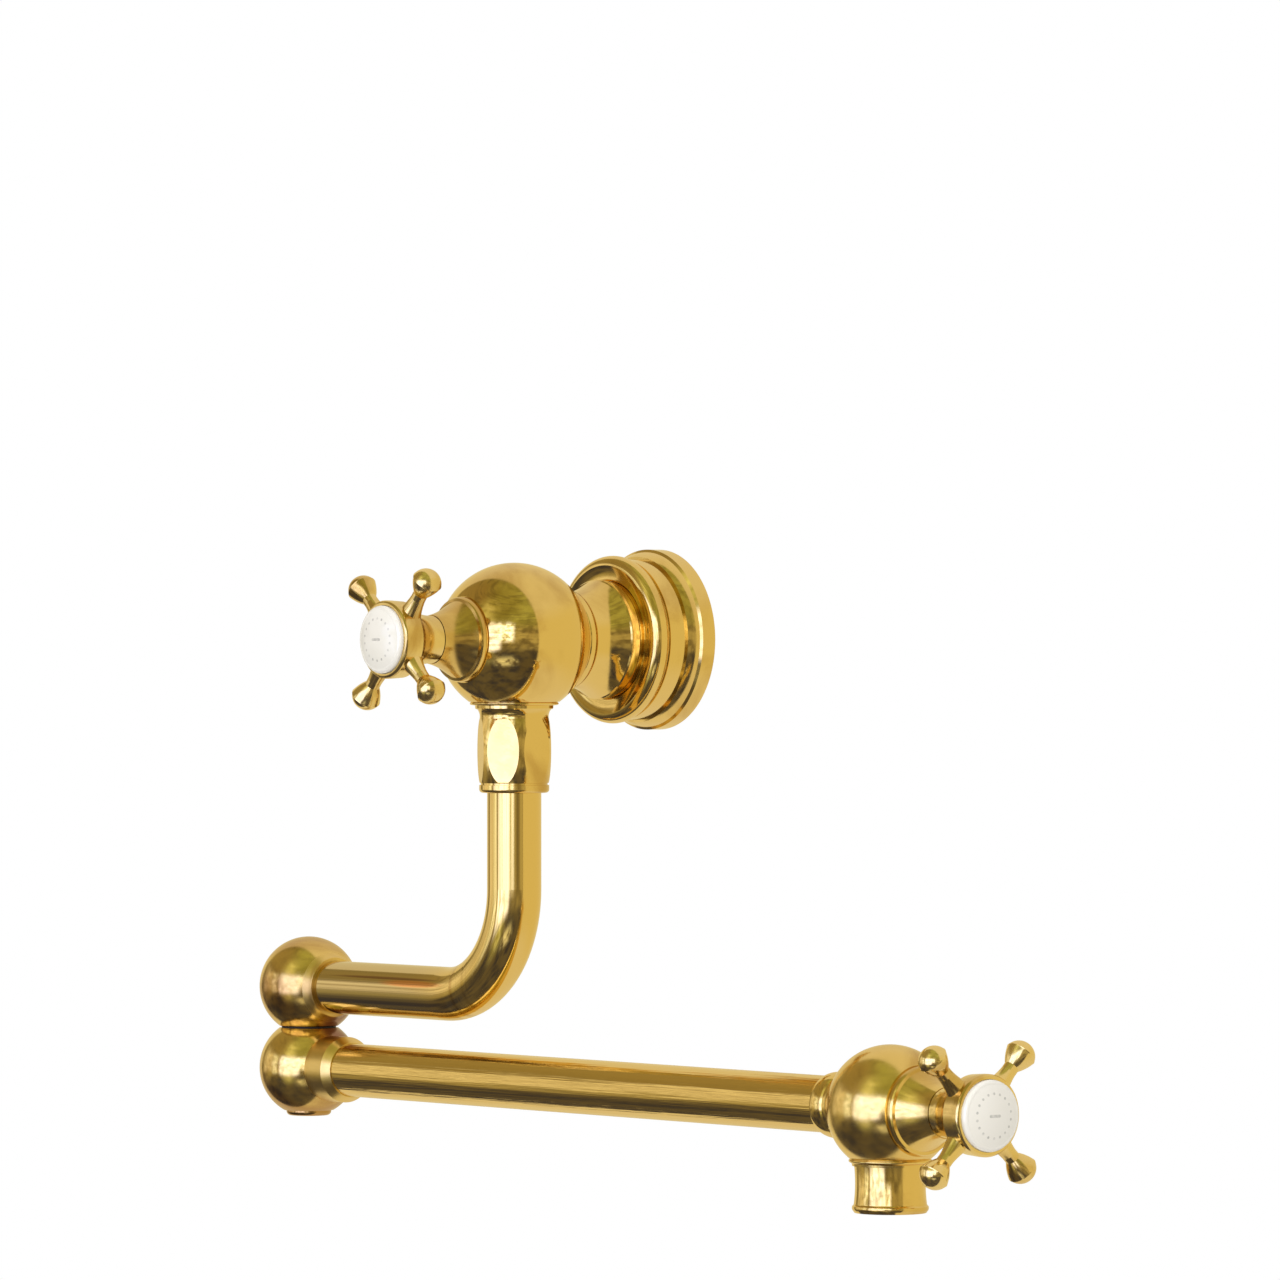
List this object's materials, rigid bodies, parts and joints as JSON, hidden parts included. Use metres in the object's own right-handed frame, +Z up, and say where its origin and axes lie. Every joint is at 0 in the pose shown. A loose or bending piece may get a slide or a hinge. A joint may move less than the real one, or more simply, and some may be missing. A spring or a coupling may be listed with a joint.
{
  "type": "wall mounted pot filler",
  "caption": "Folding pot filler tap with a ball valve on a wall rose, a swivelling bent tube, a ball elbow, a straight arm and a second valve over the nozzle.",
  "frame": {"origin": "centre of the threaded inlet, on the wall face", "axes": "+Z up, +X along the wall towards the nozzle, the wall is the XZ plane and the tap stands on its -Y side"},
  "size_m": [0.3981, 0.1252, 0.2214],
  "materials": {
    "polished_brass": "mirror polished, unlacquered",
    "raw_brass": "as machined, hidden",
    "porcelain": "glossy white glaze",
    "disc_ceramic": "lapped alumina",
    "seal_rubber": "moulded black nitrile",
    "washer_plastic": "black acetal",
    "steel": "plain stainless"
  },
  "bodies": {
    "wall_valve": {"wall_rose": "polished_brass", "rose_set_screw": "steel", "rose_gasket": "seal_rubber", "wall_valve_body": "polished_brass", "swivel_nut": "polished_brass", "shoulder_thrust_washer": "washer_plastic", "wall_seat_seal": "seal_rubber", "wall_fixed_disc": "disc_ceramic", "wall_cartridge": "raw_brass", "wall_cartridge_o_ring": "seal_rubber", "wall_bonnet": "polished_brass"},
    "wall_handle": {"wall_moving_disc": "disc_ceramic", "wall_spindle": "raw_brass", "wall_spindle_o_ring": "seal_rubber", "wall_cross_handle": "polished_brass", "wall_handle_screw": "steel", "wall_button_o_ring": "seal_rubber", "wall_porcelain_button": "porcelain"},
    "first_arm": {"swivel_tail": "raw_brass", "tail_o_rings": "seal_rubber", "drop_tube": "polished_brass", "upper_elbow_ball": "polished_brass", "elbow_spigot": "raw_brass", "elbow_o_rings": "seal_rubber", "elbow_thrust_washer": "washer_plastic", "elbow_retaining_nut": "raw_brass"},
    "second_arm": {"lower_elbow_ball": "polished_brass", "elbow_plug": "polished_brass", "elbow_collar": "polished_brass", "arm_tube": "polished_brass", "valve_collar": "polished_brass", "spout_valve_body": "polished_brass", "spout_nozzle": "polished_brass", "aerator_washer": "seal_rubber", "aerator_housing": "raw_brass", "aerator_screen": "steel", "spout_seat_seal": "seal_rubber", "spout_fixed_disc": "disc_ceramic", "spout_cartridge": "raw_brass", "spout_cartridge_o_ring": "seal_rubber", "spout_bonnet": "polished_brass"},
    "spout_handle": {"spout_moving_disc": "disc_ceramic", "spout_spindle": "raw_brass", "spout_spindle_o_ring": "seal_rubber", "spout_cross_handle": "polished_brass", "spout_handle_screw": "steel", "spout_button_o_ring": "seal_rubber", "spout_porcelain_button": "porcelain"}
  },
  "joints": [
    {"name": "shoulder_swivel", "type": "hinge", "parent": "wall_valve", "child": "first_arm", "pos_m": [0, -0.0648, -0.05], "axis": [0, 0, 1], "range_deg": [-20, 200]},
    {"name": "elbow_swivel", "type": "hinge", "parent": "first_arm", "child": "second_arm", "pos_m": [-0.1226, -0.0648, -0.14035], "axis": [0, 0, 1], "continuous": true},
    {"name": "wall_valve_turn", "type": "hinge", "parent": "wall_valve", "child": "wall_handle", "pos_m": [0, -0.0648, 0], "axis": [0, -1, 0], "range_deg": [0, 90]},
    {"name": "spout_valve_turn", "type": "hinge", "parent": "second_arm", "child": "spout_handle", "pos_m": [0.2046, -0.0648, -0.1551], "axis": [1, 0, 0], "range_deg": [0, 90]}
  ]
}
